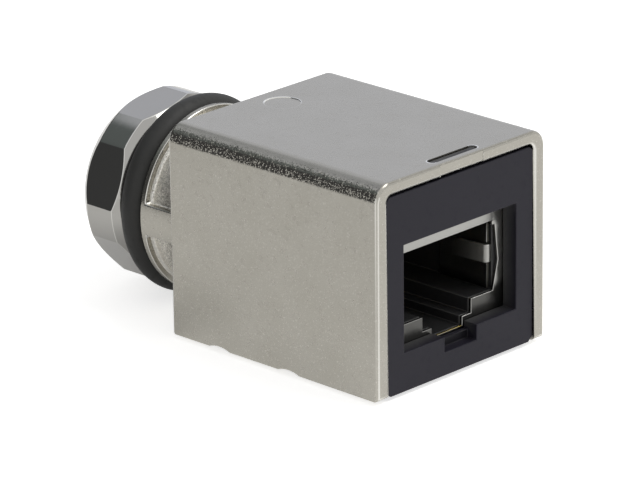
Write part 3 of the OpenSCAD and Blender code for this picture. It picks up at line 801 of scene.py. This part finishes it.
# Front cover
# The black moulding that closes the box: face plate with the port window, locking tab and floor.
# It is pushed in from the front until its tab springs into the slot of the top wall.
cover_plastic, tree, shader, place = start_material("cover_plastic")
shader.inputs["Specular IOR Level"].default_value = 0.2
grain = place_group(tree, grain_group, place, Grain_size=0.09, Swell_size=0.8, Swell_share=0.3)
finish = place_group(tree, smear_group, place, Cloud_size=5.0, Smear_size=0.6)
moulded = blend(tree, finish["Cloud"], (0.0138, 0.0128, 0.0210), (0.0168, 0.0156, 0.0244))
lit_walls = blend(tree, mark(tree, "painted_wall_light"), moulded, (0.0600, 0.0600, 0.0605))
finish_shader(
    tree, shader,
    blend(tree, mark(tree, "painted_recess_shade"), lit_walls, (0.0075, 0.0070, 0.0100)),
    spread(tree, finish["Smear"], 0.42, 0.52),
    bump(tree, grain["Height"], 0.004),
)

recess_depth = 0.3
recess_from_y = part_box("front_cover")[0].y / MM + recess_depth
notch_below_z = -5.45
light_in_notch = 0.1
facing_forward = -0.5


def behind_the_face(place, normal):
    """Painted light on the walls of the window, and less of it on those of the notch below it."""
    if place.y < recess_from_y or normal.y < facing_forward:
        return 0.0
    return 1.0 if place.z > notch_below_z else light_in_notch


def set_back(place, normal):
    """What faces forward behind the face plate gets painted shade, as if from the plate."""
    return 1.0 if place.y > recess_from_y and normal.y < facing_forward else 0.0


cover = cad_copy("front_cover", "front_cover_moulding", bevel_mm=0.07)
mark_points(cover, "painted_wall_light", behind_the_face)
mark_points(cover, "painted_recess_shade", set_back)
cover.data.materials.append(cover_plastic)
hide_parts("front_cover")
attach(cover, "root")

# Jack shield
# The RJ45 jack's shield, stamped and folded from tinned copper alloy sheet, with two spring fingers.
# The tin is cut through at the punched edges, so the copper alloy shows along the lowest latch step.
tinned_sheet, tree, shader, place = start_material("tinned_sheet")
shader.inputs["Metallic"].default_value = 1.0
grain = place_group(tree, grain_group, place, Grain_size=0.12, Swell_size=1.5, Swell_share=0.4)
finish = place_group(tree, smear_group, place, Cloud_size=2.5, Smear_size=0.5)
spot = split(tree, place)
# Painted shade: the tin is darker towards the bottom.
low_shade_from_z, low_shade_to_z = -2.4, -3.4
leaf_frosting = 0.28
leaf = mark(tree, "inside")
tin = blend(tree, finish["Cloud"], (0.370, 0.368, 0.350), (0.402, 0.400, 0.382))
painted_low_shade = ramp(tree, spot["Z"], low_shade_from_z * MM, low_shade_to_z * MM)
lined = blend(tree, leaf, blend(tree, painted_low_shade, tin, (0.105, 0.104, 0.099)), (0.35, 0.346, 0.328))

# The punch has rolled the face in a little along the sides of the port
shield_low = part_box("jack_shell")[0]
face_within = 0.02 * MM
roll_from_x, roll_to_x, roll_end_x = 7.30, 6.20, 6.02
roll_low_from_z, roll_low_to_z = -3.75, -2.9
roll_top_from_z, roll_top_to_z = 3.5, 2.3
roll_lean = 0.30
roll_left_on_top = 0.15
aside = maths(tree, "ABSOLUTE", spot["X"])
roll = node(tree, "ShaderNodeCombineXYZ")
tree.links.new(product(
    tree,
    ramp(tree, aside, roll_from_x * MM, roll_to_x * MM, high=roll_lean, smooth=False),
    maths(tree, "LESS_THAN", spot["Y"], shield_low.y + face_within),
    maths(tree, "GREATER_THAN", aside, roll_end_x * MM),
    ramp(tree, spot["Z"], roll_low_from_z * MM, roll_low_to_z * MM),
    ramp(tree, spot["Z"], roll_top_from_z * MM, roll_top_to_z * MM, low=roll_left_on_top),
    maths(tree, "SIGN", spot["X"]),
    -1.0,
), roll.inputs["X"])
finish_shader(
    tree, shader,
    # Painted highlight along the broken edges of the sheet.
    blend(tree, mark(tree, "wear_and_highlight"), lined, (0.52, 0.515, 0.49)),
    maths(tree, "ADD", spread(tree, finish["Smear"], 0.28, 0.38), product(tree, leaf, leaf_frosting)),
    bump(tree, grain["Height"], 0.003, lean_normal(tree, roll.outputs["Vector"])),
)

bare_alloy, tree, shader, place = start_material("bare_copper_alloy")
shader.inputs["Metallic"].default_value = 1.0
grain = place_group(tree, grain_group, place, Grain_size=0.07, Swell_size=0.6, Swell_share=0.4)
finish_shader(
    tree, shader,
    blend(tree, grain["Speckle"], (0.50, 0.39, 0.12), (0.45, 0.41, 0.28)),
    spread(tree, grain["Height"], 0.25, 0.45),
    bump(tree, grain["Height"], 0.003),
)

cut_edge, tree, shader, place = start_material("dull_cut_edge")
shader.inputs["Metallic"].default_value = 1.0
grain = place_group(tree, grain_group, place, Grain_size=0.06, Swell_size=0.5, Swell_share=0.4)
finish_shader(
    tree, shader,
    blend(tree, grain["Speckle"], (0.13, 0.125, 0.11), (0.20, 0.19, 0.16)),
    spread(tree, grain["Height"], 0.40, 0.60),
    bump(tree, grain["Height"], 0.003),
)


def fine_edges(place, area):
    return 1.0 if area > 0.02 else 0.0


shield = cad_copy("jack_shell", "jack_shield", bevel_mm=0.045, share=fine_edges)
for metal in (tinned_sheet, bare_alloy, cut_edge):
    shield.data.materials.append(metal)
bare_slot, cut_slot = 1, 2
level_from, cut_facing = 0.5, -0.8
sheet = 0.3 * MM
bare_below_z = -5.6 * MM
liner_x = 5.8 * MM
for face in shield.data.polygons:
    on_front_sheet = face.center.y < shield_low.y + sheet
    above_foot = shield_low.z + sheet < face.center.z
    level = abs(face.normal.z) > level_from
    if on_front_sheet and level and above_foot and face.center.z < bare_below_z:
        face.material_index = bare_slot
    if not on_front_sheet and face.normal.y < cut_facing and abs(face.center.x) > liner_x:
        face.material_index = cut_slot
bend_y = (shield_low.y + sheet) / MM
leaf_length = 2.6
leaf_half_height = 1.3
leaf_within_x = 5.95


def on_a_leaf(place, normal):
    """The leaves of the two fingers are frosted where they are bent, and less so towards their ends."""
    if abs(place.x) > leaf_within_x or abs(place.z) > leaf_half_height or place.y < bend_y:
        return 0.0
    return max(0.0, 1.0 - (place.y - bend_y) / leaf_length)


mark_points(shield, "inside", on_a_leaf)
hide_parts("jack_shell")
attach(shield, "root")

# Jack body
# The black moulding inside the shield: the port's walls, the stepped latch channel and the contact slots.
# It is moulded in one piece, and the shield is folded round it.
jack_plastic, tree, shader, place = start_material("jack_plastic")
shader.inputs["Specular IOR Level"].default_value = 0.3
grain = place_group(tree, grain_group, place, Grain_size=0.10, Swell_size=0.7, Swell_share=0.35)
finish = place_group(tree, smear_group, place, Cloud_size=3.0, Smear_size=0.5)
moulded = blend(tree, finish["Cloud"], (0.0240, 0.0240, 0.0250), (0.0300, 0.0300, 0.0310))
finish_shader(
    tree, shader,
    # Painted highlight along the broken edges of the moulding.
    blend(tree, mark(tree, "wear_and_highlight"), moulded, (0.100, 0.100, 0.098)),
    spread(tree, finish["Smear"], 0.34, 0.46),
    bump(tree, grain["Height"], 0.003),
)

jack_body = cad_copy("jack_body", "jack_body_moulding", bevel_mm=0.08)
jack_body.data.materials.append(jack_plastic)
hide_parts("jack_body")
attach(jack_body, "root")

# Contacts
# Eight spring contacts in the jack and four turned ones in the round socket, gold plated copper alloy.
# The springs are stamped, bent and pushed into their slots; every tail is soldered to the board.
contact_gold, tree, shader, place = start_material("contact_gold")
shader.inputs["Metallic"].default_value = 1.0
grain = place_group(tree, grain_group, place, Grain_size=0.06, Swell_size=0.5, Swell_share=0.4)
finish = place_group(tree, smear_group, place, Cloud_size=1.5, Smear_size=0.3)
finish_shader(
    tree, shader,
    blend(tree, finish["Cloud"], (0.66, 0.42, 0.12), (0.74, 0.50, 0.17)),
    spread(tree, finish["Smear"], 0.18, 0.30),
    bump(tree, grain["Height"], 0.002),
)

jack_contact_count = 8
socket_contact_count = 4
contact_nodes = ["jack_contact_%d" % (i + 1) for i in range(jack_contact_count)]
contact_nodes += ["m12_contact_%d" % (i + 1) for i in range(socket_contact_count)]
for name in contact_nodes:
    contact = cad_copy(name, name + "_plated", bevel_mm=0.03, share=fine_edges)
    contact.data.materials.append(contact_gold)
    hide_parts(name)
    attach(contact, "root")

# Circuit board
# A glass laminate board under green solder mask that stands across the box and joins the jack to the socket.
# Its tracks show through the mask as lighter lanes, and the soldered tails hold it in place.
board_laminate, tree, shader, place = start_material("board_laminate")
shader.inputs["Coat Weight"].default_value = 0.4
lane_spacing = 4.0
weave = place_group(tree, grain_group, place, Grain_size=0.25, Swell_size=1.2, Swell_share=0.4)
lanes = node(tree, "ShaderNodeTexBrick", offset=0.5, squash=1.0)
lanes.inputs["Color1"].default_value = (0.010, 0.095, 0.040, 1.0)
lanes.inputs["Color2"].default_value = (0.014, 0.125, 0.052, 1.0)
lanes.inputs["Mortar"].default_value = (0.030, 0.190, 0.080, 1.0)
lanes.inputs["Scale"].default_value = 1.0 / (lane_spacing * MM)
lanes.inputs["Mortar Size"].default_value = 0.035
turned = node(tree, "ShaderNodeMapping")
turned.inputs["Rotation"].default_value = (math.radians(90.0), 0.0, 0.0)
tree.links.new(place, turned.inputs["Vector"])
link(tree, turned, "Vector", lanes, "Vector")
finish_shader(
    tree, shader,
    lanes.outputs["Color"],
    spread(tree, weave["Height"], 0.22, 0.42),
    bump(tree, weave["Height"], 0.004),
)

board = cad_copy("circuit_board", "circuit_board_laminate", bevel_mm=0.05)
board.data.materials.append(board_laminate)
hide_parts("circuit_board")
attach(board, "root")

# Contact carrier and collar
# The black carrier of the four socket contacts with its coding groove, and the collar that holds it.
# Both are moulded; the collar is pressed in from the box side against the shoulder behind the thread.
for name, piece_name in (("m12_insert", "contact_carrier"), ("carrier_collar", "carrier_collar_moulding")):
    moulding = cad_copy(name, piece_name, bevel_mm=0.08)
    moulding.data.materials.append(jack_plastic)
    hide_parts(name)
    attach(moulding, "root")

# Seals
# The large rubber ring between flange and panel, and the small one in the collar's groove.
# Both are O-rings of black rubber, moulded and slipped on.
seal_rubber, tree, shader, place = start_material("seal_rubber")
shader.inputs["Specular IOR Level"].default_value = 0.35
grain = place_group(tree, grain_group, place, Grain_size=0.12, Swell_size=1.0, Swell_share=0.3)
finish = place_group(tree, smear_group, place, Cloud_size=3.0, Smear_size=0.8)
finish_shader(
    tree, shader,
    blend(tree, finish["Cloud"], (0.0265, 0.0265, 0.0253), (0.0335, 0.0335, 0.0320)),
    spread(tree, finish["Smear"], 0.55, 0.68),
    bump(tree, grain["Height"], 0.005),
)

ring_tree, source, out = geometry_tree("sealing_ring", {
    "Mean radius": "Float",
    "Section radius": "Float",
    "Place along axis": "Float",
    "Material": "Material",
})
round_path = node(ring_tree, "GeometryNodeCurvePrimitiveCircle")
round_path.inputs["Resolution"].default_value = 160
section = node(ring_tree, "GeometryNodeCurvePrimitiveCircle")
section.inputs["Resolution"].default_value = 40
link(ring_tree, source, "Mean radius", round_path, "Radius")
link(ring_tree, source, "Section radius", section, "Radius")
swept = node(ring_tree, "GeometryNodeCurveToMesh")
link(ring_tree, round_path, "Curve", swept, "Curve")
link(ring_tree, section, "Curve", swept, "Profile Curve")
on_axis = node(ring_tree, "GeometryNodeTransform")
on_axis.inputs["Rotation"].default_value = (math.radians(-90.0), 0.0, 0.0)
shifted = node(ring_tree, "ShaderNodeCombineXYZ")
link(ring_tree, source, "Place along axis", shifted, "Y")
link(ring_tree, shifted, "Vector", on_axis, "Translation")
link(ring_tree, swept, "Mesh", on_axis, "Geometry")
end_tree(ring_tree, on_axis, source, out)

for name in ("sealing_ring", "insert_seal"):
    low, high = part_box(name)
    section_radius = (high.y - low.y) / 2
    ring = grow(name + "_rubber", ring_tree, {
        "Mean radius": (high.x - low.x) / 2 - section_radius,
        "Section radius": section_radius,
        "Place along axis": (high.y + low.y) / 2,
        "Material": seal_rubber,
    })
    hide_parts(name)
    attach(ring, "root")

# Panel nut
# A turned brass ring with six milled flats and chamfered ends, plated with bright nickel.
# It screws onto the neck and clamps the panel against the sealing ring.
bright_nickel, tree, shader, place = start_material("bright_nickel")
shader.inputs["Metallic"].default_value = 1.0
grain = place_group(tree, grain_group, place, Grain_size=0.25, Swell_size=2.2, Swell_share=0.6)
finish = place_group(tree, smear_group, place, Cloud_size=3.0, Smear_size=0.5)
plating = blend(tree, finish["Cloud"], (0.375, 0.368, 0.350), (0.397, 0.390, 0.372))
finish_shader(
    tree, shader,
    # Painted highlight along the broken edges of the nut.
    blend(tree, mark(tree, "wear_and_highlight"), plating, (0.66, 0.655, 0.63)),
    spread(tree, finish["Smear"], 0.07, 0.13),
    bump(tree, grain["Height"], 0.0012),
)

nut_low, nut_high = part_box("lock_nut")
nut_middle_y = (nut_low.y + nut_high.y) / (2 * MM)
milled_half_length = 1.0


def turned_edges(place, area):
    """The milled edges along the nut stay crisp, and those that the lathe made are broken."""
    return 0.0 if abs(place.y - nut_middle_y) < milled_half_length else fine_edges(place, area)


nut = cad_copy("lock_nut", "panel_nut", bevel_mm=0.07, share=turned_edges, keep_sharp_deg=15.0)
nut.data.materials.append(bright_nickel)
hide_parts("lock_nut")
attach(nut, "root")
